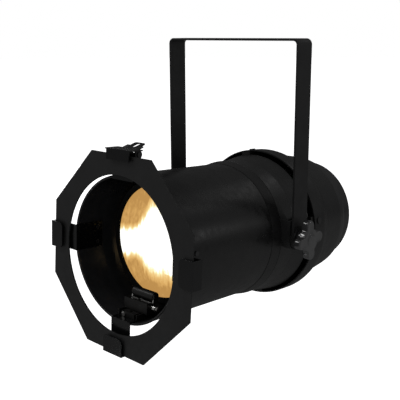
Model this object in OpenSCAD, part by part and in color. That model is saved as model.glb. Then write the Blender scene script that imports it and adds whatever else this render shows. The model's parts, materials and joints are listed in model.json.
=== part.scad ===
// Zooming par can: a lamp barrel with a gel frame, hung in a flat bar yoke.
// Millimetres, +Z up, the light looks along -Y. The origin is the middle of the
// hanging hole, on the top face of the yoke's strap.

/* [Yoke] */
// Clear width between the yoke's two legs
yoke_inside = 218; // [217:1:226]
// Width of the flat bar
bar_w = 30; // [26:1:34]
// Thickness of the flat bar
bar_t = 3; // [2:0.5:4]
// Depth of the tilt axis below the strap's top face
pivot_drop = 258; // [250:1:280]
// Diameter of the hanging hole
hang_d = 12.5; // [8:0.5:14]
// Diameter of the tilt studs
stud_d = 8; // [6:1:8]

/* [Can] */
// How far the light points above the horizon at rest, in degrees
rest_tilt = 3.4; // [0:0.1:10]
// Depth of the can's centre line below the tilt axis
axis_drop = 4; // [0:0.5:6]
// Outside diameter of the front barrel
barrel_d = 183.4; // [183:0.1:184]
// Distance from the tilt axis to the front rim
barrel_front = 212.4; // [212:0.1:212.6]
// Sheet thickness of the barrel
barrel_wall = 1.6; // [1.2:0.1:2]
// Outside diameter of the rear cap's skirt
cap_d = 212; // [208:1:213]
// Distance from the tilt axis to the rear end
cap_end = 182; // [178:1:186]

/* [Gel frame] */
// Width of the octagonal gel frame
frame_w = 254; // [253:0.5:254.5]
// Height of the octagonal gel frame
frame_h = 244.4; // [240:0.2:245]
// Length cut off each corner, along each side
frame_cut = 73; // [68:1:78]
// Diameter of the frame's opening
frame_hole = 195.6; // [190:0.2:200]
// Thickness of each of the frame's two sheets
frame_t = 0.8; // [0.6:0.1:0.9]

/* [Zoom] */
// Clear diameter of the lens
lens_clear = 144.8; // [140:0.2:146]
// Distance the lens carriage can travel to the rear
zoom_travel = 45; // [20:1:46]

/* [Knobs] */
// Diameter over the tips of the tilt knobs
knob_d = 54.4; // [48:0.2:60]
// Thickness of a knob's lobes
knob_t = 10; // [8:0.5:12]

/* [Hidden] */
$fn = 96;

BLACK = [0.13, 0.13, 0.135];
GLOSS = [0.06, 0.06, 0.065];
GREY = [0.28, 0.28, 0.29];
ZINC = [0.75, 0.75, 0.77];
ALU = [0.62, 0.63, 0.65];
BOARD = [0.12, 0.3, 0.18];

fit = 0.05;            // radial clearance of a turning fit
seat = 0.2;            // gap between faces that turn on each other
stud_r = stud_d / 2;
leg_x = yoke_inside / 2;
bend_r = 5;            // inside radius of the yoke's corners

barrel_r = barrel_d / 2;
bore_r = barrel_r - barrel_wall;
rim_r = 1.6;           // radius of the rolled front rim
band_r = 94.5;         // housing round the barrel's rear end
flare_r = 99.5;        // rear edge of the housing
band_front = 33;
band_rear = -12;
flare_rear = -40;
joint_rear = 6;        // rear end of the barrel, inside the band

cap_front = -46;
cap_wall = 1.8;
cap_r = cap_d / 2;
cap_skirt = 20;        // straight length of the skirt
cap_taper = 8;         // slope of the cap's long taper, in degrees
panel_s = -176;        // front face of the rear panel

clip_w = 34;           // width of a clip
clip_t = 1.6;
clip_foot_r = 88.4;    // outer face of a clip's foot, inside the barrel
clip_foot_s = 172;     // rear end of the foot
arm_s = barrel_front + 0.8;
clip_front = arm_s + clip_t;

frame_s = 220.5;       // middle of the gel frame
frame_u = -4.6;        // the frame sits low, on the bottom clip
frame_x = -0.5;
frame_nod = -1.2;      // the loose frame leans back a little at the top
frame_swing = -1.6;    // and swings a little to the right
sheet_gap = 0.2;       // room for a colour filter between the sheets

lens_u = 2;            // height of the lens above the can's centre line
lens_s = 153;          // front edge of the lens rim
shoe_top = -79.9;
rail_low = -88.3;
rail_w = 34;
rail_t = 1.6;
shoe_rear = 140;
shoe_front = 189;
rail_front = 203;
screw_rows = [100, 150, 196];

latch_s = 209;         // latch pin
latch_u = 119.3;
latch_w = 40;

// ---- helpers ----

// The can's own frame: X across, Y up and Z forward along the centre line.
module in_can() {
  translate([0, 0, -pivot_drop]) rotate([90 - rest_tilt, 0, 0])
    translate([0, -axis_drop, 0]) children();
}

// The frame of the gel frame's middle, which leans in its clips.
module in_frame() {
  in_can() translate([frame_x, frame_u, frame_s])
    rotate([frame_nod, 0, 0]) rotate([0, frame_swing, 0]) children();
}

// A block by its low and high corners.
module block(low, high) {
  translate(low) cube(high - low);
}

// A round bar from s0 to s1 along the can.
module bar(r, s0, s1) {
  translate([0, 0, s0]) cylinder(r = r, h = s1 - s0);
}

// A tube from s0 to s1 along the can.
module tube(r_in, r_out, s0, s1) {
  difference() {
    bar(r_out, s0, s1);
    bar(r_in, s0 - 1, s1 + 1);
  }
}

// A round bar across the can, from x0 to x1 at height u and station s.
module cross_bar(r, x0, x1, u = 0, s = 0) {
  translate([x0, u, s]) rotate([0, 90, 0]) cylinder(r = r, h = x1 - x0);
}

// Children on both sides of the can.
module both_sides() {
  children();
  mirror([1, 0, 0]) children();
}

// Points of a circular arc in a turned outline; the angle leans to the rear.
function arc(c, r, a0, a1, n) =
  [for (i = [0:n]) let (a = a0 + (a1 - a0) * i / n) c + r * [cos(a), -sin(a)]];

function reverse(list) = [for (i = [len(list) - 1:-1:0]) list[i]];

// ---- yoke ----

module yoke_outline(gap) {
  half = leg_x + bar_t - gap;
  r = bend_r + bar_t - gap;
  translate([-half, -pivot_drop]) square([2 * half, pivot_drop - r - gap]);
  translate([-half + r, -pivot_drop]) square([2 * (half - r), pivot_drop - gap]);
  for (side = [-1, 1]) translate([side * (half - r), -r - gap]) circle(r = r);
}

module yoke() {
  color(BLACK) difference() {
    union() {
      rotate([90, 0, 0]) translate([0, 0, -bar_w / 2]) linear_extrude(bar_w)
        difference() {
          yoke_outline(0);
          yoke_outline(bar_t);
        }
      both_sides() translate([leg_x, 0, -pivot_drop]) rotate([0, 90, 0])
        cylinder(r = bar_w / 2, h = bar_t);
    }
    translate([0, 0, -bar_t - 1]) cylinder(d = hang_d, h = bar_t + 2);
    translate([-leg_x - bar_t - 1, 0, -pivot_drop]) rotate([0, 90, 0])
      cylinder(r = stud_r + fit, h = yoke_inside + 2 * bar_t + 2);
  }
}

washer_t = 2;

module yoke_washers() {
  color(GLOSS) both_sides() translate([leg_x + bar_t, 0, -pivot_drop])
    rotate([0, 90, 0]) difference() {
      cylinder(r = 16, h = washer_t);
      translate([0, 0, -1]) cylinder(r = stud_r + fit, h = washer_t + 2);
    }
}

knob_x = leg_x + bar_t + washer_t + seat;
knob_neck = 6.3;
lobe_r = 7.6;

module star() {
  circle(r = 16);
  for (k = [0:3]) rotate(90 * k + 4.6) {
    translate([0, -6.6]) square([knob_d / 2 - lobe_r, 13.2]);
    translate([knob_d / 2 - lobe_r, 0]) circle(r = lobe_r);
  }
}

// A four-lobed clamping knob on the right-hand stud, at the tilt axis.
module knob() {
  color(GREY) translate([knob_x, 0, -pivot_drop]) rotate([90, 0, 90]) difference() {
    union() {
      cylinder(r = 12, h = knob_neck);
      translate([0, 0, knob_neck]) linear_extrude(knob_t) star();
      translate([0, 0, knob_neck + knob_t]) cylinder(r = 8, h = 0.8);
    }
    translate([0, 0, -1]) cylinder(r = stud_r + fit, h = knob_neck + knob_t - 1);
  }
}

module knob_right() knob();
module knob_left() mirror([1, 0, 0]) knob();

// ---- tilt pivots on the can ----

plate_x = leg_x - 2;
plate_t = 3;
bracket_w = 34;
head_h = 5.3;

module bracket_shape(r, x0, x1) {
  cross_bar(r, x0, x1);
  block([x0, 0, -r], [x1, 24, r]);
}

// A pressed steel cup between the housing and the yoke's leg.
module side_bracket() {
  color(BLACK) in_can() difference() {
    translate([0, axis_drop, 0]) difference() {
      bracket_shape(bracket_w / 2, 90, plate_x);
      translate([0, 2, 0]) bracket_shape(bracket_w / 2 - 2, 89, plate_x - plate_t);
      cross_bar(stud_r + fit, 89, plate_x + 1);
    }
    housing_body();
  }
}

module side_bracket_right() side_bracket();
module side_bracket_left() mirror([1, 0, 0]) side_bracket();

module tilt_studs() {
  color(ZINC) both_sides() in_can() translate([0, axis_drop, 0]) {
    cross_bar(stud_r, plate_x - plate_t, knob_x + knob_neck + knob_t - 3);
    translate([plate_x - plate_t - head_h, 0, 0]) rotate([0, 90, 0])
      cylinder(d = 13 / cos(30), h = head_h, $fn = 6);
  }
}

module friction_discs() {
  color(GLOSS) both_sides() in_can() translate([0, axis_drop, 0]) difference() {
    cross_bar(15, plate_x, leg_x - seat);
    cross_bar(stud_r + fit, plate_x - 1, leg_x);
  }
}

// ---- shells of the can ----

rivet_r = 1.6;
rivet_u = 10;
rivet_s = 180;

// Rivets of one clip, on the +X side of the barrel.
module rivet_holes(r) {
  for (u = [-rivet_u, rivet_u]) cross_bar(r, 80, 100, u, rivet_s);
}

// Turns children from the +X side of the can to the side clips and the latch.
// The short bottom clip is welded to the rim.
module at_clips() {
  for (a = [0, 90, 180]) rotate(a) children();
}

module front_barrel() {
  color(BLACK) in_can() difference() {
    union() {
      tube(bore_r, barrel_r, joint_rear, barrel_front - rim_r);
      translate([0, 0, barrel_front - rim_r]) rotate_extrude()
        translate([barrel_r - 0.7, 0]) circle(r = rim_r, $fn = 24);
    }
    at_clips() rivet_holes(rivet_r + fit);
    for (s = screw_rows) translate([0, 0, s]) rotate([90, 0, 0])
      cylinder(r = 2, h = 100);
  }
}

module housing_outline(inner) {
  polygon([
    [inner, band_front], [barrel_r + 0.4, band_front], [band_r, 17.6],
    [band_r - 0.7, 17.3], [band_r - 0.7, 16.7], [band_r, 16.4],
    [band_r, band_rear], [flare_r, flare_rear], [flare_r - 2.2, flare_rear],
    [inner, band_rear]
  ]);
}

module mid_housing() {
  color(BLACK) in_can() rotate_extrude() housing_outline(barrel_r + fit);
}

// The housing as a solid, a hair larger, to trim what sits on it.
module housing_body() {
  grow = 0.05;
  rotate_extrude() polygon([
    [0, band_front], [barrel_r + 0.4 + grow, band_front], [band_r + grow, 17.6],
    [band_r + grow, band_rear], [flare_r + grow, flare_rear], [0, flare_rear]
  ]);
}

// The cap's outline at a depth t inside its outer skin, from skirt to collar.
shoulder_r = 30;
waist_r = 20;
dome_r = 26;
steep = 35;
dome_steep = 55;
c1 = [cap_r - shoulder_r, cap_front - cap_skirt];
c2 = c1 + (shoulder_r + waist_r) * [cos(steep), -sin(steep)];
p2 = c2 - waist_r * [cos(cap_taper), -sin(cap_taper)];
p3 = p2 + 54 * [-sin(cap_taper), -cos(cap_taper)];
c3 = p3 - dome_r * [cos(cap_taper), -sin(cap_taper)];
collar_r = c3[0] + dome_r * cos(dome_steep);

function cap_line(t) = concat(
  [[cap_r - t, cap_front]],
  arc(c1, shoulder_r - t, 0, steep, 8),
  arc(c2, -waist_r - t, steep, cap_taper, 6),
  arc(c3, dome_r - t, cap_taper, dome_steep, 10),
  [[collar_r - t, -cap_end]]
);

screw_angles = [10, 100, 190, 280];
cap_screw_s = -56;
flange_s = panel_s - 2;
flange_r = collar_r - 7.5;

module rear_cap() {
  color(BLACK) in_can() difference() {
    union() {
      rotate_extrude() polygon(concat(cap_line(0), reverse(cap_line(cap_wall))));
      tube(flange_r, collar_r - cap_wall / 2, flange_s - 1.6, flange_s);
    }
    for (a = screw_angles) rotate(a) cross_bar(2.6, 95, 115, 0, cap_screw_s);
    for (a = [45:90:315]) rotate(a) translate([panel_screw_r, 0, flange_s - 2])
      cylinder(r = 1.6, h = 3);
  }
}

chassis_s = -38;
chassis_r = 96.4;

module chassis_plate() {
  color(BLACK) in_can() difference() {
    bar(chassis_r, flare_rear, chassis_s);
    block([-46.5, -46.5, flare_rear - 1], [46.5, 46.5, chassis_s + 1]);
    for (a = [30:60:330]) rotate(a) translate([76, 0, flare_rear - 1])
      cylinder(r = 8, h = 4);
  }
}

module cap_spacers() {
  color(ZINC) in_can() for (a = screw_angles) rotate(a) difference() {
    block([88, -7, -64], [cap_r - cap_wall - 0.3, 7, flare_rear]);
    cross_bar(2.55, 80, 110, 0, cap_screw_s);
  }
}

module cap_screws() {
  color(GLOSS) in_can() for (a = screw_angles) rotate(a) {
    cross_bar(2.5, 94, cap_r, 0, cap_screw_s);
    cross_bar(4.4, cap_r + 0.02, cap_r + 1.3, 0, cap_screw_s);
  }
}

// ---- light engine ----

bulkhead_s = 52;

module bulkhead() {
  color(GLOSS) in_can() difference() {
    bar(bore_r - 0.2, bulkhead_s, bulkhead_s + 1.5);
    bar(22, bulkhead_s - 1, bulkhead_s + 3);
    for (a = [15:30:345]) rotate(a) translate([72, 0, bulkhead_s - 1])
      cylinder(r = 5, h = 4);
  }
}

sink_r = 64;
sink_base = 8;
sink_rear = -19;
fin_gap = 8;
fin_t = 2.4;

module heat_sink() {
  color(ALU) in_can() {
    bar(sink_r, bulkhead_s - sink_base, bulkhead_s);
    intersection() {
      bar(sink_r, sink_rear, bulkhead_s - sink_base);
      union() {
        for (k = [-7:7]) block([k * fin_gap - fin_t / 2, -sink_r, sink_rear],
          [k * fin_gap + fin_t / 2, sink_r, bulkhead_s - sink_base]);
      }
    }
  }
}

module led_board() {
  color(ALU) in_can() bar(19, bulkhead_s, bulkhead_s + 1.4);
}

module led_emitter() {
  color([1, 0.85, 0.45]) in_can() bar(13, bulkhead_s + 1.4, bulkhead_s + 2.2);
}

module led_holder() {
  color([0.92, 0.92, 0.9]) in_can() tube(14, 21, bulkhead_s + 1.5, bulkhead_s + 5);
}

module reflector() {
  s0 = bulkhead_s + 5;
  color(ZINC) in_can() rotate_extrude() polygon([
    [15, s0], [21, s0], [34, s0 + 22], [34, s0 + 24], [32.6, s0 + 24], [32.6, s0 + 22.4]
  ]);
}

// ---- fan ----

fan_rear = -46;
fan_front = -21;
fan_w = 92;

module fan_frame() {
  color(GLOSS) in_can() difference() {
    block([-fan_w / 2, -fan_w / 2, fan_rear], [fan_w / 2, fan_w / 2, fan_front]);
    bar(44, fan_rear + 3, fan_front + 1);
    difference() {
      bar(44, fan_rear - 1, fan_rear + 4);
      bar(20, fan_rear - 2, fan_rear + 3);
      for (a = [20:90:290]) rotate(a)
        block([18, -2, fan_rear - 2], [46, 2, fan_rear + 3]);
    }
    for (x = [-41.2, 41.2], u = [-41.2, 41.2]) translate([x, u, fan_rear - 1])
      cylinder(r = 2.2, h = 30);
  }
}

module fan_rotor() {
  hub_r = 19;
  color(GREY) in_can() {
    bar(hub_r, fan_rear + 4, fan_front - 1);
    intersection() {
      tube(hub_r - 1, 42.5, fan_rear + 5, fan_front - 2);
      union() {
        for (k = [0:6]) rotate(k * 360 / 7) translate([0, 0, (fan_rear + fan_front) / 2])
          rotate([38, 0, 0]) block([10, -14, -1], [46, 14, 1]);
      }
    }
  }
}

module fan_screws() {
  color(ZINC) in_can() for (x = [-41.2, 41.2], u = [-41.2, 41.2])
    translate([x, u, 0]) {
      bar(2, fan_rear, sink_rear);
      bar(3.6, fan_rear - 2.4, fan_rear);
    }
}

// ---- electronics in the rear cap ----

module driver_case() {
  color(ALU) in_can() {
    difference() {
      block([-58, -36, -140], [58, 36, -56]);
      for (k = [-4:4]) block([k * 11 - 2, 34.5, -130], [k * 11 + 2, 37, -66]);
    }
    both_sides() {
      block([58, -12, -90], [60, 12, flare_rear]);
      block([58, -12, flare_rear - 2], [74, 12, flare_rear]);
    }
  }
}

display_u = 42;
button_u = 18;
button_x = [-27, -9, 9, 27];
board_s = panel_s + 8;

module control_board() {
  color(BOARD) in_can() block([-40, 6, board_s], [40, 58, board_s + 1.6]);
}

panel_screw_r = collar_r - 4.7;
xlr_x = 33;
xlr_u = -14;
inlet_u = -47;
xlr_r = 12;

module rear_panel() {
  color(BLACK) in_can() difference() {
    union() {
      bar(collar_r - cap_wall - 0.3, flange_s, panel_s);
      for (x = [-36, 36], u = [10, 54]) translate([x, u, 0]) bar(2.5, panel_s - 0.5, board_s);
    }
    block([-26, display_u - 9, -200], [26, display_u + 9, 0]);
    for (x = button_x) translate([x, button_u, 0]) bar(4.2, -200, 0);
    for (x = [-xlr_x, xlr_x]) translate([x, xlr_u, 0]) bar(xlr_r, -200, 0);
    block([-14.2, inlet_u - 10.2, -200], [14.2, inlet_u + 10.2, 0]);
    for (a = [45:90:315]) rotate(a) translate([panel_screw_r, 0, -190])
      cylinder(r = 1.6, h = 20);
  }
}

module panel_screws() {
  color(ZINC) in_can() for (a = [45:90:315]) rotate(a) translate([panel_screw_r, 0, 0]) {
    bar(1.5, flange_s - 1.6, panel_s + 1);
    bar(2.5, flange_s - 3.2, flange_s - 1.6);
  }
}

// An inlet socket: a flange on the panel, a deep well and three blades.
module power_inlet() {
  color(GLOSS) in_can() translate([0, inlet_u, 0]) {
    difference() {
      union() {
        block([-18, -13, flange_s - 2], [18, 13, flange_s]);
        block([-14, -10, flange_s], [14, 10, panel_s + 22]);
      }
      block([-12.2, -8.4, flange_s - 3], [12.2, 8.4, panel_s + 18]);
    }
    for (x = [-7, 7]) block([x - 1, -5, panel_s + 3], [x + 1, -1, panel_s + 18]);
    block([-1, -0.2, panel_s + 1], [1, 3.8, panel_s + 18]);
  }
}

// The plate of a round signal socket on the rear panel.
module xlr_plate() {
  difference() {
    block([-13, -15.5, flange_s - 2], [13, 15.5, flange_s]);
    bar(9.4, flange_s - 3, flange_s + 1);
  }
}

module at_xlr(side) {
  in_can() translate([side * xlr_x, xlr_u, 0]) children();
}

// The signal input, with three pins in a round well.
module dmx_in() {
  color(GLOSS) at_xlr(-1) {
    xlr_plate();
    difference() {
      bar(xlr_r - 0.3, flange_s, panel_s + 20);
      bar(9.4, flange_s - 1, panel_s + 17);
    }
    for (a = [30, 150, 270]) rotate(a) translate([5, 0, 0]) bar(1.2, panel_s + 4, panel_s + 17);
  }
}

// The signal output, with three pin holes in a round face.
module dmx_out() {
  color(GLOSS) at_xlr(1) {
    xlr_plate();
    difference() {
      bar(xlr_r - 0.3, flange_s, panel_s + 20);
      difference() {
        bar(9.4, flange_s - 1, panel_s + 14);
        bar(7.6, flange_s, panel_s + 15);
      }
      for (a = [30, 150, 270]) rotate(a) translate([5, 0, 0])
        bar(1.3, flange_s - 1, panel_s + 12);
    }
  }
}

module display() {
  color([0.1, 0.2, 0.35]) in_can()
    block([-25.7, display_u - 8.7, flange_s + 0.3], [25.7, display_u + 8.7, board_s]);
}

module button(x) {
  color(GREY) in_can() translate([x, button_u, 0]) {
    bar(4, flange_s - 2.2, panel_s + 0.6);
    bar(5, panel_s + 0.6, panel_s + 1.8);
    bar(2.5, panel_s + 1.8, board_s - 1.8);
  }
}

module button_1() button(button_x[0]);
module button_2() button(button_x[1]);
module button_3() button(button_x[2]);
module button_4() button(button_x[3]);

eye_r = 4.5;
eye_u = 64;
eye_s = flange_s - 12;

module safety_eyelet() {
  color(ZINC) in_can() difference() {
    union() {
      block([-7, 57, flange_s - 2], [7, 71, flange_s]);
      block([-1.5, 57, eye_s], [1.5, 71, flange_s - 2]);
      cross_bar(7, -1.5, 1.5, eye_u, eye_s);
    }
    cross_bar(eye_r, -3, 3, eye_u, eye_s);
  }
}

// ---- clips and latch at the front ----

// A clip on the +X side: foot, arm, outer wall and front lip.
module clip(wall_r, depth, foot_s = clip_foot_s) {
  lip_s = clip_front + depth;
  lip_len = 22;
  corner = 6;
  half = clip_w / 2;
  difference() {
    union() {
      block([clip_foot_r - clip_t, -half, foot_s], [clip_foot_r, half, clip_front]);
      block([clip_foot_r - clip_t, -half, arm_s], [wall_r + clip_t, half, clip_front]);
      block([wall_r, -half, arm_s], [wall_r + clip_t, half, lip_s + clip_t]);
      block([wall_r + clip_t - lip_len + corner, -half, lip_s],
        [wall_r + clip_t, half, lip_s + clip_t]);
      block([wall_r + clip_t - lip_len, -half + corner, lip_s],
        [wall_r + clip_t, half - corner, lip_s + clip_t]);
      for (u = [-half + corner, half - corner])
        translate([wall_r + clip_t - lip_len + corner, u, 0])
          bar(corner, lip_s, lip_s + clip_t);
    }
    rivet_holes(rivet_r + fit);
  }
}

module clip_right() {
  color(BLACK) in_can() clip(129, 11.4);
}

module clip_left() {
  color(BLACK) in_can() rotate(180) clip(128.2, 5.8);
}

module clip_bottom() {
  color(BLACK) in_can() rotate(-90)
    clip(-frame_u + frame_h / 2 + 0.25, 11.4, rail_front + 1);
}

module clip_rivets() {
  color(BLACK) in_can() at_clips() for (u = [-rivet_u, rivet_u]) {
    face = sqrt(pow(barrel_r, 2) - pow(rivet_u - 3.1, 2)) + 0.02;
    cross_bar(rivet_r, clip_foot_r - clip_t, face, u, rivet_s);
    cross_bar(3, face, face + 1.2, u, rivet_s);
    cross_bar(2.6, clip_foot_r - clip_t - 0.9, clip_foot_r - clip_t, u, rivet_s);
  }
}

ear_x = 17;
ear_t = 1.5;
ear_r = 3.4;
pin_r = 2;

module latch_bracket() {
  half = clip_w / 2;
  color(BLACK) in_can() difference() {
    union() {
      rotate(90) block([clip_foot_r - clip_t, -half, clip_foot_s],
        [clip_foot_r, half, clip_front]);
      block([-half - ear_t, clip_foot_r - clip_t, arm_s],
        [half + ear_t, latch_u + 1.7, clip_front]);
      both_sides() {
        cross_bar(ear_r, ear_x, ear_x + ear_t, latch_u, latch_s);
        block([ear_x, latch_u - ear_r, latch_s],
          [ear_x + ear_t, latch_u + 1.7, clip_front]);
      }
    }
    rotate(90) rivet_holes(rivet_r + fit);
    cross_bar(pin_r + fit, -30, 30, latch_u, latch_s);
  }
}

flap_x = 20.5;
flap_t = 1.5;
flap_top = latch_u + 3.9;
flap_rear = latch_s - 6;
flap_front = 223.5;
flap_lip = 13.5;
tab_rise = 18;         // slope of the finger tab, in degrees

module latch_flap() {
  color(BLACK) in_can() difference() {
    union() {
      // top plate, narrowing towards the tab
      translate([0, flap_top, 0]) rotate([-90, 0, 0]) linear_extrude(flap_t)
        polygon([
          [-flap_x - flap_t, -flap_front], [flap_x + flap_t, -flap_front],
          [flap_x + flap_t, -flap_rear], [-flap_x - flap_t, -flap_rear]
        ]);
      // front lip
      block([-latch_w / 2, flap_top + flap_t - flap_lip, flap_front - flap_t],
        [latch_w / 2, flap_top + flap_t, flap_front]);
      // side cheeks
      both_sides() {
        block([flap_x, latch_u - 3, latch_s],
          [flap_x + flap_t, flap_top + flap_t, latch_s + 5.8]);
        cross_bar(5, flap_x, flap_x + flap_t, latch_u, latch_s);
      }
      // finger tab, sloping up to the rear
      translate([0, flap_top, flap_rear]) rotate([tab_rise, 0, 0]) {
        block([-14, 0, -9], [14, flap_t, 0.4]);
        block([-9, 0, -15], [9, flap_t, 0]);
        for (x = [-6, 6]) translate([x, 0, -15]) rotate([-90, 0, 0])
          cylinder(r = 3, h = flap_t);
        block([-6, 0, -18], [6, flap_t, -14]);
      }
    }
    translate([0, flap_top - 1, flap_rear]) rotate([tab_rise, 0, 0]) {
      block([-3, -1, -14.5], [3, 5, -8]);
      for (s = [-14.5, -8]) translate([0, -1, s]) rotate([-90, 0, 0])
        cylinder(r = 3, h = 6);
    }
    cross_bar(pin_r + fit, -30, 30, latch_u, latch_s);
  }
}

module latch_pin() {
  color(ZINC) in_can() {
    cross_bar(pin_r, -flap_x - flap_t - 0.3, flap_x + flap_t + 0.3, latch_u, latch_s);
    both_sides() cross_bar(3, flap_x + flap_t + 0.3, flap_x + flap_t + 1.3, latch_u, latch_s);
  }
}

module latch_spring() {
  wire = 0.6;
  coil_r = pin_r + wire + 0.1;
  pitch = 1.1;
  color(ZINC) in_can() translate([0, latch_u, latch_s]) {
    for (k = [-5:5]) translate([k * pitch, 0, 0]) rotate([0, 90, 0]) rotate_extrude($fn = 32)
      translate([coil_r, 0]) circle(r = wire, $fn = 12);
    translate([5 * pitch, coil_r, 0]) cylinder(r = wire, h = 5, $fn = 12);
    translate([-5 * pitch, -coil_r, 0]) cylinder(r = wire, h = 4, $fn = 12);
  }
}

// ---- gel frame ----

module frame_sheet() {
  a = frame_w / 2;
  b = frame_h / 2;
  c = frame_cut;
  difference() {
    linear_extrude(frame_t) polygon([
      [-a + c, b], [a - c, b], [a, b - c], [a, c - b],
      [a - c, -b], [c - a, -b], [-a, c - b], [-a, b - c]
    ]);
    translate([0, 0, -1]) cylinder(d = frame_hole, h = frame_t + 2, $fn = 180);
    for (x = [-114, 114]) translate([x, 0, -1]) cylinder(r = 1.5, h = frame_t + 2);
  }
}

module frame_front_sheet() {
  color(BLACK) in_frame() translate([0, 0, sheet_gap / 2]) frame_sheet();
}

module frame_back_sheet() {
  color(BLACK) in_frame() translate([0, 0, -sheet_gap / 2 - frame_t]) frame_sheet();
}

module frame_rivets() {
  low = -sheet_gap / 2 - frame_t;
  color(BLACK) in_frame() for (x = [-114, 114]) translate([x, 0, 0]) {
    bar(1.45, low, -low);
    bar(2.4, -low, -low + 0.25);
    bar(2.4, low - 0.25, low);
  }
}

// ---- zoom carriage ----

ring_r = 79;
lens_r = 75;
lens_rim = 3;

module in_lens() {
  in_can() translate([0, lens_u, 0]) children();
}

module lens_carriage() {
  shoe_w = rail_w / 2 - rail_t - 0.5;
  color(GLOSS) {
    in_lens() {
      tube(lens_r - 4, ring_r, shoe_rear, lens_s - lens_rim);
      tube(lens_r + fit, ring_r, lens_s - lens_rim, lens_s);
    }
    in_can() {
      block([-shoe_w, rail_low + rail_t + 0.4, shoe_rear], [shoe_w, shoe_top, shoe_front]);
      difference() {
        block([-shoe_w, shoe_top - 1, shoe_rear], [shoe_w, -70, lens_s - lens_rim]);
        translate([0, lens_u, 0]) bar(lens_r, shoe_rear - 1, lens_s);
      }
    }
  }
}

module lens() {
  bulge = 10;
  r = lens_clear / 2 - 0.2;
  ball = (r * r + bulge * bulge) / (2 * bulge);
  color([1, 0.95, 0.85]) in_lens() {
    bar(lens_r, lens_s - lens_rim, lens_s);
    intersection() {
      translate([0, 0, lens_s + bulge - ball]) sphere(r = ball, $fn = 180);
      bar(r + 1, lens_s - 0.5, lens_s + bulge + 1);
    }
  }
}

module lens_ring() {
  color(GLOSS) in_lens() tube(lens_clear / 2, ring_r, lens_s, lens_s + 2.5);
}

block_low = shoe_top;
block_high = -66;
block_rear = 178;
block_front = 193;
block_side = 24;

module zoom_block() {
  color(GLOSS) in_can() difference() {
    block([-17, block_low, block_rear], [block_side, block_high, block_front]);
    cross_bar(2.5 + fit, 10, block_side + 1, -72, 185);
  }
}

handle_u = -58.6;
handle_s = 182;
handle_r = 6;
handle_low = -9;
handle_high = 27;
tab_t = 1.5;
tab_tops = [-59.5, -55];
plate_front = 187;

// A bent plate on the block, with a tab at each end of the handle.
module handle_plate() {
  color(ZINC) in_can() {
    difference() {
      block([handle_low - tab_t, block_high, block_rear],
        [handle_high + tab_t, block_high + 1, plate_front]);
      block([2, block_high - 1, plate_front - 2], [7, block_high + 2, plate_front + 1]);
    }
    for (end = [0, 1]) translate([end == 0 ? handle_low : handle_high + tab_t, 0, 0])
      rotate([0, -90, 0]) linear_extrude(tab_t) polygon([
        [block_rear, block_high], [plate_front, block_high],
        [handle_s + 3, tab_tops[end]], [handle_s - 1, tab_tops[end]]
      ]);
  }
}

module zoom_handle() {
  color(BLACK) in_can() cross_bar(handle_r, handle_low, handle_high, handle_u, handle_s);
}

module zoom_screw() {
  color(ZINC) in_can() difference() {
    union() {
      cross_bar(2.5, 12, block_side + 1, -72, 185);
      cross_bar(3.4, block_side + 0.2, block_side + 5, -72, 185);
      cross_bar(4.2, block_side + 5, block_side + 9, -72, 185);
    }
    translate([block_side + 6, -72, 185]) rotate([0, 90, 0]) cylinder(r = 2.6, h = 5, $fn = 6);
  }
}

module zoom_rail() {
  half = rail_w / 2;
  rear = shoe_rear - zoom_travel - 3;
  color(GLOSS) in_can() difference() {
    block([-half, rail_low, rear], [half, shoe_top - 0.4, rail_front]);
    block([-half + rail_t, rail_low + rail_t, rear - 1], [half - rail_t, -70, rail_front + 1]);
    for (s = screw_rows) translate([0, -80, s]) rotate([90, 0, 0])
      cylinder(r = 1.95, h = 10);
  }
}

module rail_stop() {
  color(GLOSS) in_can() difference() {
    block([-11, rail_low + rail_t, 190], [12, shoe_top - 0.8, rail_front]);
    translate([-6, -83.6, 0]) bar(1.6, 195, rail_front + 1);
    translate([0, -80, screw_rows[2]]) rotate([90, 0, 0]) cylinder(r = 2.2, h = 10);
  }
}

module stop_screw() {
  color(ZINC) in_can() translate([-6, -83.6, 0]) {
    bar(1.5, 196, rail_front);
    bar(2.8, rail_front, rail_front + 1.8);
  }
}

module rail_screws() {
  color(GLOSS) in_can() for (s = screw_rows) translate([0, 0, s]) rotate([90, 0, 0]) {
    translate([0, 0, -rail_low - rail_t]) cylinder(r = 1.85, h = barrel_r + rail_low + rail_t);
    translate([0, 0, barrel_r + 0.02]) cylinder(r = 3.6, h = 2);
  }
}

yoke();
yoke_washers();
knob_left();
knob_right();
side_bracket_left();
side_bracket_right();
tilt_studs();
friction_discs();
front_barrel();
mid_housing();
rear_cap();
chassis_plate();
cap_spacers();
cap_screws();
bulkhead();
heat_sink();
led_board();
led_emitter();
led_holder();
reflector();
fan_frame();
fan_rotor();
fan_screws();
driver_case();
control_board();
rear_panel();
panel_screws();
power_inlet();
dmx_in();
dmx_out();
display();
button_1();
button_2();
button_3();
button_4();
safety_eyelet();
clip_left();
clip_right();
clip_bottom();
clip_rivets();
latch_bracket();
latch_flap();
latch_pin();
latch_spring();
frame_front_sheet();
frame_back_sheet();
frame_rivets();
lens_carriage();
lens();
lens_ring();
zoom_block();
handle_plate();
zoom_handle();
zoom_screw();
zoom_rail();
rail_stop();
stop_screw();
rail_screws();
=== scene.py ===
"""Looks for a zooming stage par can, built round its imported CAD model."""
import json
import math

import bmesh
import bpy
from mathutils import Matrix, Vector


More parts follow.
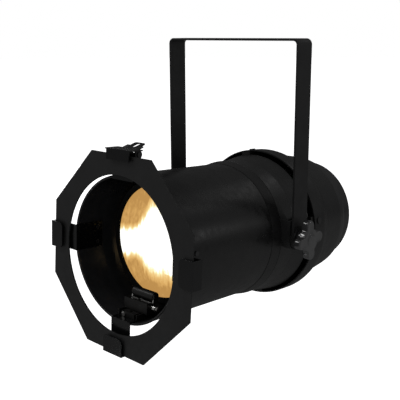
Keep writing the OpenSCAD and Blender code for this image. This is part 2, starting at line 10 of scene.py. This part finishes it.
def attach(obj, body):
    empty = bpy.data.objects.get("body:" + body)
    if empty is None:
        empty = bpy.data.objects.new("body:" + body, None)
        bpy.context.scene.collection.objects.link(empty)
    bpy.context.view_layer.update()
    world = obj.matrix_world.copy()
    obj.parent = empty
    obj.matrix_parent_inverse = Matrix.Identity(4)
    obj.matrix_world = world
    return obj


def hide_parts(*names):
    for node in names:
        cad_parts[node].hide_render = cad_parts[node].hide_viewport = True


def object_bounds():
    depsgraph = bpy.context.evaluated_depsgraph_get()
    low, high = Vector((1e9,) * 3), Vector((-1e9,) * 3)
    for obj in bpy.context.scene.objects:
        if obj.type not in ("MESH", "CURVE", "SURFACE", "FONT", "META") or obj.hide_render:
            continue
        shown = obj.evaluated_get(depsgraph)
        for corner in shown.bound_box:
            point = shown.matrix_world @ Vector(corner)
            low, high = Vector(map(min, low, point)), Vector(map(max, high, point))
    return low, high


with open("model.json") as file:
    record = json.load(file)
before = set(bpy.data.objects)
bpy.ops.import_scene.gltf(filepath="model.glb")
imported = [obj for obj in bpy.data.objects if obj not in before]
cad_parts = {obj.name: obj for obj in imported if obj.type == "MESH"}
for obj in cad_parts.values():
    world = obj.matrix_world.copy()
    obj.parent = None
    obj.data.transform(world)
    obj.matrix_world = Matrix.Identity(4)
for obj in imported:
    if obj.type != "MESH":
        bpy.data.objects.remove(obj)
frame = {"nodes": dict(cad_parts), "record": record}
bpy.context.view_layer.update()
cad_low, cad_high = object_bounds()
nodes = frame["nodes"]
scene = bpy.context.scene

# The can's own axes at rest: X across, Y up and Z forward along its centre line.
PIVOT_DROP, AXIS_DROP, REST_TILT = 0.258, 0.004, math.radians(3.4)
CAN = (
    Matrix.Translation((0, 0, -PIVOT_DROP))
    @ Matrix.Rotation(math.pi / 2 - REST_TILT, 4, "X")
    @ Matrix.Translation((0, -AXIS_DROP, 0))
)


# ---- materials ----


class Shader:
    """Builds one procedural material round a Principled shader."""

    def __init__(self, name, **values):
        self.mat = bpy.data.materials.new(name)
        self.mat.use_nodes = True
        self.tree = self.mat.node_tree
        self.tree.nodes.clear()
        self.out = self.add("ShaderNodeOutputMaterial")
        self.bsdf = self.add("ShaderNodeBsdfPrincipled")
        self.link(self.bsdf.outputs[0], self.out.inputs[0])
        self.coords = self.add("ShaderNodeTexCoord").outputs["Object"]
        for socket, value in values.items():
            self.bsdf.inputs[socket.replace("_", " ")].default_value = value

    def add(self, kind, **props):
        node = self.tree.nodes.new(kind)
        for key, value in props.items():
            setattr(node, key, value)
        return node

    def link(self, a, b):
        self.tree.links.new(a, b)

    def feed(self, socket, value):
        """Links an output to a socket, or sets a constant."""
        if isinstance(value, bpy.types.NodeSocket):
            self.link(value, socket)
        else:
            socket.default_value = value

    def to(self, name, value):
        self.feed(self.bsdf.inputs[name], value)

    def scaled(self, stretch):
        node = self.add("ShaderNodeMapping")
        self.link(self.coords, node.inputs["Vector"])
        node.inputs["Scale"].default_value = stretch
        return node.outputs[0]

    def noise(self, scale, detail=3, rough=0.5, stretch=None):
        node = self.add("ShaderNodeTexNoise")
        self.link(self.scaled(stretch) if stretch else self.coords, node.inputs["Vector"])
        node.inputs["Scale"].default_value = scale
        node.inputs["Detail"].default_value = detail
        node.inputs["Roughness"].default_value = rough
        return node.outputs["Fac"]

    def cells(self, scale, stretch=None, feature="F1"):
        node = self.add("ShaderNodeTexVoronoi", feature=feature)
        self.link(self.scaled(stretch) if stretch else self.coords, node.inputs["Vector"])
        node.inputs["Scale"].default_value = scale
        return node.outputs["Distance"]

    def math(self, kind, a, b=0.0, c=0.0):
        node = self.add("ShaderNodeMath", operation=kind)
        for socket, value in zip(node.inputs, (a, b, c)):
            self.feed(socket, value)
        return node.outputs[0]

    def spread(self, value, low, high, to_low=0.0, to_high=1.0, smooth=True):
        node = self.add("ShaderNodeMapRange")
        if smooth:
            node.interpolation_type = "SMOOTHSTEP"
        for key, number in zip(
            ("From Min", "From Max", "To Min", "To Max"), (low, high, to_low, to_high)
        ):
            self.feed(node.inputs[key], number)
        self.feed(node.inputs["Value"], value)
        return node.outputs["Result"]

    def mix(self, fac, a, b, blend="MIX"):
        node = self.add("ShaderNodeMix", data_type="RGBA", blend_type=blend)
        self.feed(node.inputs[0], fac)
        for socket, value in ((node.inputs[6], a), (node.inputs[7], b)):
            self.feed(socket, (*value, 1.0) if isinstance(value, tuple) else value)
        return node.outputs[2]

    def ramp(self, fac, stops):
        node = self.add("ShaderNodeValToRGB")
        band = node.color_ramp
        while len(band.elements) < len(stops):
            band.elements.new(0.5)
        for element, (at, colour) in zip(band.elements, stops):
            element.position = at
            element.color = (*colour, 1.0)
        self.link(fac, node.inputs[0])
        return node.outputs[0]

    def axis(self, name, vector=None):
        node = self.add("ShaderNodeSeparateXYZ")
        self.link(vector or self.coords, node.inputs[0])
        return node.outputs[name]

    def can(self):
        """The can's own coordinates of a point on a CAD node, which sits in the row frame."""
        turn = CAN.inverted()
        node = self.add("ShaderNodeMapping")
        self.link(self.coords, node.inputs["Vector"])
        node.inputs["Location"].default_value = turn.to_translation()
        node.inputs["Rotation"].default_value = turn.to_euler()
        return node.outputs[0]

    def radius(self):
        """Distance from the can's centre line."""
        flat = self.add("ShaderNodeVectorMath", operation="MULTIPLY")
        flat.inputs[1].default_value = (1, 1, 0)
        self.link(self.can(), flat.inputs[0])
        length = self.add("ShaderNodeVectorMath", operation="LENGTH")
        self.link(flat.outputs[0], length.inputs[0])
        return length.outputs["Value"]

    def facing(self, direction):
        """How far the surface faces a direction of the row frame, -1 to 1."""
        dot = self.add("ShaderNodeVectorMath", operation="DOT_PRODUCT")
        dot.inputs[1].default_value = direction
        turn = self.add("ShaderNodeVectorTransform", vector_type="NORMAL")
        turn.convert_from, turn.convert_to = "WORLD", "OBJECT"
        self.link(self.add("ShaderNodeNewGeometry").outputs["Normal"], turn.inputs[0])
        self.link(turn.outputs[0], dot.inputs[0])
        return dot.outputs["Value"]

    def up(self, low=0.35, high=1.0):
        """How far the surface faces up in the world, 0 to 1."""
        return self.spread(
            self.axis("Z", self.add("ShaderNodeNewGeometry").outputs["Normal"]), low, high
        )

    def edges(self, radius):
        """Near 1 along convex and concave edges, 0 on flat faces."""
        bevel = self.add("ShaderNodeBevel", samples=6)
        bevel.inputs["Radius"].default_value = radius
        dot = self.add("ShaderNodeVectorMath", operation="DOT_PRODUCT")
        self.link(bevel.outputs[0], dot.inputs[0])
        self.link(self.add("ShaderNodeNewGeometry").outputs["Normal"], dot.inputs[1])
        return self.spread(dot.outputs["Value"], 0.99, 0.86)

    def bump(self, height, strength, distance, base=None):
        node = self.add("ShaderNodeBump")
        node.inputs["Strength"].default_value = strength
        node.inputs["Distance"].default_value = distance
        self.link(height, node.inputs["Height"])
        if base is not None:
            self.link(base, node.inputs["Normal"])
        self.link(node.outputs[0], self.bsdf.inputs["Normal"])
        return node.outputs[0]


def shade(colour, factor):
    return tuple(c * factor for c in colour)


def paint(name, colour, rough, peel=0.25, wear=0.5, dust=0.3, bore=None, shine=0.5):
    """Black paint on sheet metal: orange peel, mottling, rubbed edges and a little dust.
    Inside a radius of bore metres it is a glossier enamel of a lighter colour than the outside
    coat; the lighter colour is partly painted light in the bore."""
    s = Shader(name, Specular_IOR_Level=shine)
    mottle = s.noise(34, 6, 0.6)
    base = s.mix(s.spread(mottle, 0.3, 0.7), shade(colour, 0.86), shade(colour, 1.16))
    fleck = s.spread(s.noise(2600, 1), 0.66, 0.78)
    base = s.mix(s.math("MULTIPLY", fleck, 0.12), base, shade(colour, 2.0))
    worn = s.math("MULTIPLY", s.edges(0.0007), s.spread(s.noise(210, 5, 0.7), 0.45, 0.62))
    base = s.mix(s.math("MULTIPLY", worn, wear), base, (0.11, 0.11, 0.112))
    settled = s.math("MULTIPLY", s.up(), s.spread(s.noise(55, 6, 0.65), 0.35, 0.75))
    base = s.mix(s.math("MULTIPLY", settled, dust * 0.25), base, (0.10, 0.098, 0.094))
    finish = s.spread(s.noise(120, 4, 0.6), 0.3, 0.7, rough - 0.05, rough + 0.06)
    if bore:
        inside = s.spread(s.radius(), bore, bore + 0.0001, 1.0, 0.0)
        # Inside the bore: its own gloss enamel, with its colour raised above the outside coat as
        # painted light reaching into the can.
        enamel = s.mix(s.noise(90, 4), (0.020, 0.020, 0.0215), (0.045, 0.045, 0.047))
        base = s.mix(inside, base, enamel)
        gloss = s.spread(s.noise(60, 5), 0.3, 0.7, 0.13, 0.24)
        finish = s.math("MULTIPLY_ADD", inside, s.math("SUBTRACT", gloss, finish), finish)
    s.to("Base Color", base)
    s.to("Roughness", finish)
    fine = s.bump(s.noise(1500, 2, 0.5), peel, 0.00006)
    s.bump(s.noise(260, 2, 0.5), peel * 0.6, 0.00012, fine)
    return s.mat


def sheared_with_painted_highlight():
    """Blackened sheet on the zoom handle's bracket; the faces that look forward along the can are
    bright bare metal, partly cut edges and partly a painted highlight.
    """
    s = Shader("sheared_sheet")
    # Painted highlight: bright metal only on the faces that look forward along the can, standing
    # for its cut edges catching the light.
    cut_edge_and_painted_highlight = s.spread(s.facing((0, -math.cos(REST_TILT), math.sin(REST_TILT))), 0.35, 0.6)
    black = s.mix(s.noise(300, 3), (0.008,) * 3, (0.02,) * 3)
    s.to("Base Color", s.mix(cut_edge_and_painted_highlight, black, (0.85, 0.84, 0.82)))
    s.to("Metallic", cut_edge_and_painted_highlight)
    s.to("Roughness", s.spread(s.noise(900, 3), 0.3, 0.7, 0.12, 0.3))
    s.bump(s.noise(1400, 2), 0.2, 0.00005)
    return s.mat


def metal(name, colour, rough, brush=(1, 1, 1), grain=900, tarnish=0.25):
    """Bare or plated metal with fine scratches."""
    s = Shader(name, Metallic=1.0)
    lines = s.noise(grain, 3, 0.6, brush)
    base = s.mix(s.spread(s.noise(70, 5), 0.35, 0.7), shade(colour, 1 - tarnish), colour)
    s.to("Base Color", base)
    s.to("Roughness", s.spread(lines, 0.3, 0.7, rough * 0.75, rough * 1.35))
    s.bump(lines, 0.18, 0.00004)
    return s.mat


def plastic(name, colour, rough, grain=1800, depth=0.2, coat=0.0, wear=0.15):
    """Moulded plastic with a fine spark-eroded grain."""
    s = Shader(name, Coat_Weight=coat, Coat_Roughness=0.06)
    base = s.mix(s.spread(s.noise(60, 4), 0.35, 0.65), shade(colour, 0.9), shade(colour, 1.1))
    scuff = s.math("MULTIPLY", s.edges(0.0006), s.spread(s.noise(300, 4), 0.5, 0.62))
    base = s.mix(s.math("MULTIPLY", scuff, wear), base, (0.25, 0.25, 0.25))
    s.to("Base Color", base)
    s.to("Roughness", s.spread(s.noise(140, 4), 0.3, 0.7, rough * 0.85, rough * 1.15))
    s.bump(s.noise(grain, 2), depth, 0.00005)
    return s.mat


def lens_material():
    """Moulded glass with the light from behind painted on as glow: a white hot spot that falls off
    into gold, broken into upright streaks by the facets on its back."""
    s = Shader("lens_glow", IOR=1.5, Coat_Weight=0.6, Coat_Roughness=0.04, Roughness=0.28)
    x, u = s.axis("X"), s.axis("Y")
    # The lit band: narrow and low on the -X side, wide in the middle.
    half = s.spread(x, -0.034, -0.002, 0.0145, 0.0345)
    rise = s.spread(x, -0.062, 0.0, -0.009, 0.0065)
    off = s.math("SUBTRACT", u, rise)
    streaks = s.noise(150, 3, 0.55, (1.0, 0.13, 0.3))
    blobs = s.noise(170, 5, 0.6, (1.0, 0.6, 1.0))
    reach = s.math("DIVIDE", s.math("ABSOLUTE", off), half)
    reach = s.math("ADD", reach, s.math("MULTIPLY_ADD", streaks, 1.1, -0.55))
    painted_glow = s.spread(reach, 1.75, 0.88, smooth=False)
    far = s.spread(s.math("ABSOLUTE", off), 0.03, 0.07, 0.0, -0.12)
    painted_glow = s.math("ADD", s.math("ADD", painted_glow, far), s.math("MULTIPLY_ADD", blobs, 0.7, -0.26))
    glow = s.ramp(
        painted_glow,
        (
            (0.0, (0.56, 0.30, 0.085)),
            (0.22, (0.78, 0.45, 0.14)),
            (0.50, (0.97, 0.64, 0.24)),
            (0.68, (1.0, 0.83, 0.42)),
            (0.84, (1.0, 0.95, 0.72)),
            (1.0, (1.0, 1.0, 0.97)),
        ),
    )
    s.to("Base Color", (0.05, 0.045, 0.035, 1.0))
    # Painted glow: emission on the glass stands in for the lamp's light shining through it.
    s.to("Emission Color", glow)
    s.to("Emission Strength", s.spread(painted_glow, 0.55, 1.0, 0.95, 1.4))
    s.bump(s.cells(150, (1.0, 0.5, 1.0)), 0.35, 0.0004)
    return s.mat


def phosphor_material():
    s = Shader("led_phosphor", Roughness=0.5)
    s.to("Base Color", s.mix(s.noise(900, 2), (0.9, 0.55, 0.12), (1.0, 0.72, 0.25)))
    s.to("Emission Color", (1.0, 0.72, 0.36, 1.0))
    s.bsdf.inputs["Emission Strength"].default_value = 3.0
    s.bump(s.noise(1500, 2), 0.3, 0.0001)
    return s.mat


def board_material():
    """Solder-masked board with copper tracks and pads."""
    s = Shader("board_green", Roughness=0.35, Coat_Weight=0.4, Coat_Roughness=0.15)
    tracks = s.spread(s.cells(170, (1, 1, 2.2), "DISTANCE_TO_EDGE"), 0.035, 0.06)
    base = s.mix(tracks, (0.06, 0.26, 0.10), (0.015, 0.12, 0.045))
    pads = s.spread(s.cells(420), 0.16, 0.13)
    base = s.mix(pads, base, (0.72, 0.70, 0.66))
    s.to("Base Color", base)
    s.to("Metallic", s.math("MULTIPLY", pads, 0.9))
    s.bump(tracks, 0.3, 0.00008)
    return s.mat


def display_material():
    """Dark window with a faint grid of unlit cells."""
    s = Shader("display_window", Roughness=0.12, Coat_Weight=1.0, Coat_Roughness=0.03)
    grid = s.add("ShaderNodeTexBrick")
    s.link(s.coords, grid.inputs["Vector"])
    sizes = {"Scale": 260, "Mortar Size": 0.03, "Brick Width": 0.5, "Row Height": 0.5}
    for key, number in sizes.items():
        grid.inputs[key].default_value = number
    s.to("Base Color", s.mix(grid.outputs["Fac"], (0.012, 0.022, 0.045), (0.006, 0.010, 0.02)))
    s.bump(s.noise(400, 2), 0.04, 0.00003)
    return s.mat


BLACK = (0.0250, 0.0250, 0.0255)
BARREL_BORE = 0.0906
finishes = {
    "satin_black": paint("powder_coat", BLACK, 0.44, peel=0.25, shine=0.26),
    "barrel_black": paint(
        "barrel_enamel", (0.0150, 0.0150, 0.0153), 0.30, peel=0.05, bore=BARREL_BORE, shine=0.36
    ),
    "frame_black": paint("frame_coat", (0.0165, 0.0165, 0.0168), 0.50, peel=0.3),
    "inner_black": paint(
        "inner_enamel", (0.008, 0.0075, 0.007), 0.42, peel=0.15, wear=0.2, dust=0.1
    ),
    "black_screws": paint("blackened_steel", (0.022, 0.022, 0.023), 0.34, peel=0.1, wear=0.7),
    "zinc_steel": metal("zinc_plate", (0.60, 0.61, 0.63), 0.26, grain=700),
    "bright_metal": metal("nickel_plate", (0.78, 0.77, 0.75), 0.13, grain=1200, tarnish=0.12),
    "mirror_metal": metal("polished_reflector", (0.90, 0.90, 0.89), 0.06, grain=500, tarnish=0.05),
    "bare_aluminium": metal("extruded_aluminium", (0.66, 0.67, 0.68), 0.34, (1, 0.08, 1), 1300),
    "knob_plastic": plastic("knob_bakelite", (0.058, 0.058, 0.060), 0.20, coat=0.8, depth=0.05),
    "black_plastic": plastic("moulded_black", (0.020, 0.020, 0.021), 0.42),
    "white_plastic": plastic("moulded_white", (0.80, 0.79, 0.76), 0.45),
    "rubber": plastic("fibre_disc", (0.020, 0.019, 0.018), 0.75, 900, 0.5),
    "button_rubber": plastic("soft_keys", (0.19, 0.19, 0.20), 0.62, 1200, 0.3),
    "circuit_board": board_material(),
    "display_window": display_material(),
    "phosphor": phosphor_material(),
    "lens_glass": lens_material(),
}

slot_of = {p["node"]: p["material_slot"] for p in frame["record"]["subparts"]}
for name, node in nodes.items():
    node.data.materials.clear()
    node.data.materials.append(finishes[slot_of[name]])
# The bracket's forward-facing faces carry a painted highlight in bright metal.
nodes["handle_plate"].data.materials[0] = sheared_with_painted_highlight()
# The clips and the latch get a near-black enamel, darker than the frame's coat: partly their own
# gloss enamel, partly painted shade for the shadowed gaps round them.
clip_paint_and_painted_shade = paint(
    "clip_enamel_with_painted_shade", (0.006, 0.0062, 0.0068), 0.24, peel=0.08, wear=0.2, dust=0.05, shine=0.34
)
for name in ("clip_left", "clip_right", "clip_bottom", "latch_flap", "latch_bracket"):
    nodes[name].data.materials[0] = clip_paint_and_painted_shade


# ---- pieces that replace plain CAD solids ----


def new_piece(name, body, node, material_slot, rings, place):
    """A closed skin through rings of points, one piece that stands for a CAD node."""
    mesh = bpy.data.meshes.new(name)
    shape = bmesh.new()
    loops = [[shape.verts.new(p) for p in ring] for ring in rings]
    for a, b in zip(loops, loops[1:]):
        if len(a) == 1 or len(b) == 1:
            tip, rim = (a, b) if len(a) == 1 else (b, a)
            for i in range(len(rim)):
                shape.faces.new((tip[0], rim[i], rim[(i + 1) % len(rim)]))
        else:
            for i in range(len(a)):
                j = (i + 1) % len(a)
                shape.faces.new((a[i], a[j], b[j], b[i]))
    bmesh.ops.recalc_face_normals(shape, faces=shape.faces)
    for face in shape.faces:
        face.smooth = True
    shape.to_mesh(mesh)
    shape.free()
    piece = bpy.data.objects.new(name, mesh)
    piece.matrix_world = place
    scene.collection.objects.link(piece)
    mesh.materials.append(finishes[material_slot])
    mesh.set_sharp_from_angle(angle=math.radians(40))
    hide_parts(node)
    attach(piece, body)
    return piece


# A tilt knob along X: where it starts, its neck, its star and its hub, in metres.
KNOB_X, NECK, DEPTH, HUB = 0.1142, 0.0063, 0.010, 0.0008
REAR_EDGE, FACE_EDGE = 0.0014, 0.0022
# Its star: radius over the tips, lobe radius, half an arm's width and core radius.
TIP, LOBE, ARM, CORE = 0.0272, 0.0076, 0.0066, 0.016
LOBES, PHASE = 4, math.radians(4.6)


def star_radius(angle):
    """The knob's outline: four round lobes on arms round a core, with soft valleys."""
    pitch = 2 * math.pi / LOBES
    turn = (angle - PHASE + pitch / 2) % pitch - pitch / 2
    reach = TIP - LOBE
    sides = [CORE]
    inside = LOBE**2 - (reach * math.sin(turn)) ** 2
    if inside > 0:
        sides.append(reach * math.cos(turn) + math.sqrt(inside))
    if abs(math.sin(turn)) * reach > 1e-9:
        at_edge = ARM / abs(math.sin(turn))
        if at_edge * math.cos(turn) < reach:
            sides.append(at_edge)
    return max(sides)


def knob(side):
    count, blur = 192, 7
    raw = [star_radius(2 * math.pi * i / count) for i in range(count)]
    steps = range(-blur, blur + 1)
    kernel = [math.exp(-((k / 3.0) ** 2)) for k in steps]
    outline = [
        raw[i] * 0.25
        + 0.75 * sum(w * raw[(i + k) % count] for w, k in zip(kernel, steps)) / sum(kernel)
        for i in range(count)
    ]

    def ring(x, inset, circle=None):
        out = []
        for i in range(count):
            angle = 2 * math.pi * i / count
            r = circle if circle else outline[i] - inset
            out.append((side * (KNOB_X + x), r * math.cos(angle), r * math.sin(angle)))
        return out

    low, high = NECK, NECK + DEPTH
    # The neck, then the star's two rounded edges, its dished face and the hub.
    rings = [ring(0, 0, 0.0041), ring(0, 0, 0.0114)]
    rings += [ring(0.0005, 0, 0.0119), ring(low - 0.0006, 0, 0.0119)]
    for k in range(6):
        a = math.pi / 2 * k / 5
        rings.append(ring(low + REAR_EDGE * (1 - math.cos(a)), REAR_EDGE * (1 - math.sin(a))))
    for k in range(9):
        a = math.pi / 2 * k / 8
        rings.append(ring(high - FACE_EDGE * (1 - math.sin(a)), FACE_EDGE * (1 - math.cos(a))))
    rings += [ring(high - 0.0003, 0.0036), ring(high - 0.0004, 0, 0.0094)]
    rings += [ring(high - 0.0001, 0, 0.0084), ring(high + HUB * 0.7, 0, 0.0079)]
    rings.append(ring(high + HUB, 0, 0.0073))
    rings += [ring(high + HUB, 0, 0.004), ring(high + HUB * 0.8, 0, 0.0006)]
    rings.append([(side * (KNOB_X + high + HUB * 0.8), 0, 0)])
    name = "knob_right" if side > 0 else "knob_left"
    place = Matrix.Translation((0, 0, -PIVOT_DROP))
    return new_piece("star_" + name, name, name, "knob_plastic", rings, place)


knob(1)
knob(-1)

# The lens in the can's own axes: its height, its rim's front, its radii and its bulge.
LENS_U, LENS_RIM_S, LENS_R, LENS_CLEAR, BULGE = 0.002, 0.153, 0.075, 0.0722, 0.010
LENS_RIM, CHAMFER = 0.003, 0.0004


def lens():
    """A plano-convex lens with a ground rim."""
    count, steps = 192, 40
    ball = (LENS_CLEAR**2 + BULGE**2) / (2 * BULGE)

    def ring(r, s):
        angles = [2 * math.pi * i / count for i in range(count)]
        return [(r * math.cos(a), LENS_U + r * math.sin(a), s) for a in angles]

    back = LENS_RIM_S - LENS_RIM
    rings = [[(0, LENS_U, back)], ring(0.03, back)]
    rings += [ring(LENS_R - CHAMFER, back), ring(LENS_R, back + CHAMFER)]
    rings += [ring(LENS_R, LENS_RIM_S - CHAMFER), ring(LENS_R - CHAMFER, LENS_RIM_S)]
    for k in range(steps):
        r = LENS_CLEAR * (1 - k / steps)
        rings.append(ring(r, LENS_RIM_S + BULGE - ball + math.sqrt(ball**2 - r**2)))
    rings.append([(0, LENS_U, LENS_RIM_S + BULGE)])
    piece = new_piece("glowing_lens", "zoom_carriage", "lens", "lens_glass", rings, CAN)
    piece.visible_diffuse = False
    piece.visible_glossy = False
    return piece


lens()


# ---- CAD nodes: broken edges ----


def soften(obj, width):
    """Rounds the sharp edges of a CAD node with modifiers; its mesh stays as it is."""
    weld = obj.modifiers.new("weld", "WELD")
    weld.merge_threshold = 0.000002
    flat = obj.modifiers.new("flat", "DECIMATE")
    flat.decimate_type = "DISSOLVE"
    flat.angle_limit = math.radians(0.5)
    bevel = obj.modifiers.new("bevel", "BEVEL")
    bevel.width = width
    bevel.segments = 2
    bevel.limit_method = "ANGLE"
    bevel.angle_limit = math.radians(32)
    bevel.use_clamp_overlap = True
    normal = obj.modifiers.new("normals", "WEIGHTED_NORMAL")
    normal.mode = "FACE_AREA"
    normal.keep_sharp = False


for name in ("yoke", "clip_left", "clip_right", "clip_bottom", "latch_bracket", "latch_flap"):
    soften(nodes[name], 0.0004)


# ---- stage, light and camera ----


def stage_floor():
    mesh = bpy.data.meshes.new("stage_floor")
    shape = bmesh.new()
    bmesh.ops.create_circle(shape, cap_ends=True, radius=14, segments=96)
    shape.to_mesh(mesh)
    shape.free()
    floor = bpy.data.objects.new("stage_floor", mesh)
    floor.location = (0, 0, cad_low.z - 0.14)
    scene.collection.objects.link(floor)
    s = Shader("pale_floor", Roughness=0.9, Specular_IOR_Level=0.1)
    tone = s.mix(s.noise(0.6, 2), (0.93, 0.93, 0.93), (0.96, 0.96, 0.96))
    s.to("Base Color", tone)
    s.to("Emission Color", tone)
    s.bsdf.inputs["Emission Strength"].default_value = 1.1
    mesh.materials.append(s.mat)
    floor.visible_diffuse = False
    floor.visible_glossy = False


def softbox(name, at, aim, size, power):
    lamp = bpy.data.lights.new(name, "AREA")
    lamp.shape = "RECTANGLE"
    lamp.size, lamp.size_y = size
    lamp.energy = power
    obj = bpy.data.objects.new(name, lamp)
    obj.location = at
    obj.rotation_euler = (Vector(aim) - Vector(at)).to_track_quat("-Z", "Y").to_euler()
    scene.collection.objects.link(obj)


def studio():
    world = bpy.data.worlds.new("studio")
    scene.world = world
    world.use_nodes = True
    tree = world.node_tree
    tree.nodes.clear()
    out = tree.nodes.new("ShaderNodeOutputWorld")
    seen = tree.nodes.new("ShaderNodeBackground")
    fill = tree.nodes.new("ShaderNodeBackground")
    pick = tree.nodes.new("ShaderNodeMixShader")
    path = tree.nodes.new("ShaderNodeLightPath")
    seen.inputs["Color"].default_value = (1, 1, 1, 1)
    seen.inputs["Strength"].default_value = 1.0
    # A dim room round the object: a pale floor, a darker line at the horizon and soft walls.
    coords = tree.nodes.new("ShaderNodeTexCoord")
    split = tree.nodes.new("ShaderNodeSeparateXYZ")
    room = tree.nodes.new("ShaderNodeValToRGB")
    shift = tree.nodes.new("ShaderNodeMapRange")
    shift.inputs["From Min"].default_value, shift.inputs["From Max"].default_value = -1, 1
    tree.links.new(coords.outputs["Generated"], split.inputs[0])
    tree.links.new(split.outputs["Z"], shift.inputs["Value"])
    tree.links.new(shift.outputs[0], room.inputs[0])
    stops = (
        (0.0, 0.9),
        (0.40, 0.98),
        (0.455, 0.55),
        (0.50, 0.62),
        (0.56, 0.85),
        (0.80, 1.0),
        (1.0, 0.8),
    )
    while len(room.color_ramp.elements) < len(stops):
        room.color_ramp.elements.new(0.5)
    for element, (at, level) in zip(room.color_ramp.elements, stops):
        element.position, element.color = at, (level, level, level, 1)
    tree.links.new(room.outputs[0], fill.inputs["Color"])
    # The wall on the far left stays dark.
    toward = tree.nodes.new("ShaderNodeVectorMath")
    toward.operation = "DOT_PRODUCT"
    toward.inputs[1].default_value = (-0.66, 0.73, -0.12)
    tree.links.new(coords.outputs["Generated"], toward.inputs[0])
    wall = tree.nodes.new("ShaderNodeMapRange")
    wall.inputs["From Min"].default_value, wall.inputs["From Max"].default_value = 0.0, 0.85
    wall.inputs["To Min"].default_value, wall.inputs["To Max"].default_value = 0.25, 0.07
    tree.links.new(toward.outputs["Value"], wall.inputs["Value"])
    tree.links.new(wall.outputs[0], fill.inputs["Strength"])
    tree.links.new(path.outputs["Is Camera Ray"], pick.inputs[0])
    tree.links.new(fill.outputs[0], pick.inputs[1])
    tree.links.new(seen.outputs[0], pick.inputs[2])
    tree.links.new(pick.outputs[0], out.inputs[0])
    for name, azimuth, elevation, distance, size, power in (
        # name, azimuth and elevation in degrees, distance in metres, size, watts
        ("front_high", -48, 43, 1.7, (0.5, 0.22), 3.0),
        ("front_low", -30, -24, 1.5, (0.2, 0.12), 0.9),
        ("inside_streak", 129, 12, 1.9, (0.1, 0.25), 0.5),
        ("far_side", -112, 4, 1.9, (0.8, 0.8), 4.0),
        ("rear_high", 165, 36, 1.9, (1.1, 0.25), 0.35),
    ):
        a, e = math.radians(azimuth), math.radians(elevation)
        middle = Vector((0, 0, -0.25))
        way = Vector((math.sin(a) * math.cos(e), -math.cos(a) * math.cos(e), math.sin(e)))
        softbox(name, middle + way * distance, middle, size, power)


def camera():
    data = bpy.data.cameras.new("photo_view")
    data.lens, data.sensor_width = 63.75, 36
    obj = bpy.data.objects.new("photo_view", data)
    eye = Vector((0.62432, -0.75405, 0.00843))
    aim = Vector((-0.04173, -0.02779, -0.22545))
    roll = -0.279
    back = (eye - aim).normalized()
    right = Vector((0, 0, 1)).cross(back).normalized()
    up = back.cross(right)
    turn = math.radians(roll)
    right, up = (
        right * math.cos(turn) + up * math.sin(turn),
        up * math.cos(turn) - right * math.sin(turn),
    )
    pose = Matrix((right, up, back)).transposed().to_4x4()
    pose.translation = eye
    obj.matrix_world = pose
    data.clip_start, data.clip_end = 0.01, 60
    scene.collection.objects.link(obj)
    scene.camera = obj


stage_floor()
studio()
camera()
scene.view_settings.view_transform = "Standard"
scene.view_settings.look = "None"

bpy.context.view_layer.update()
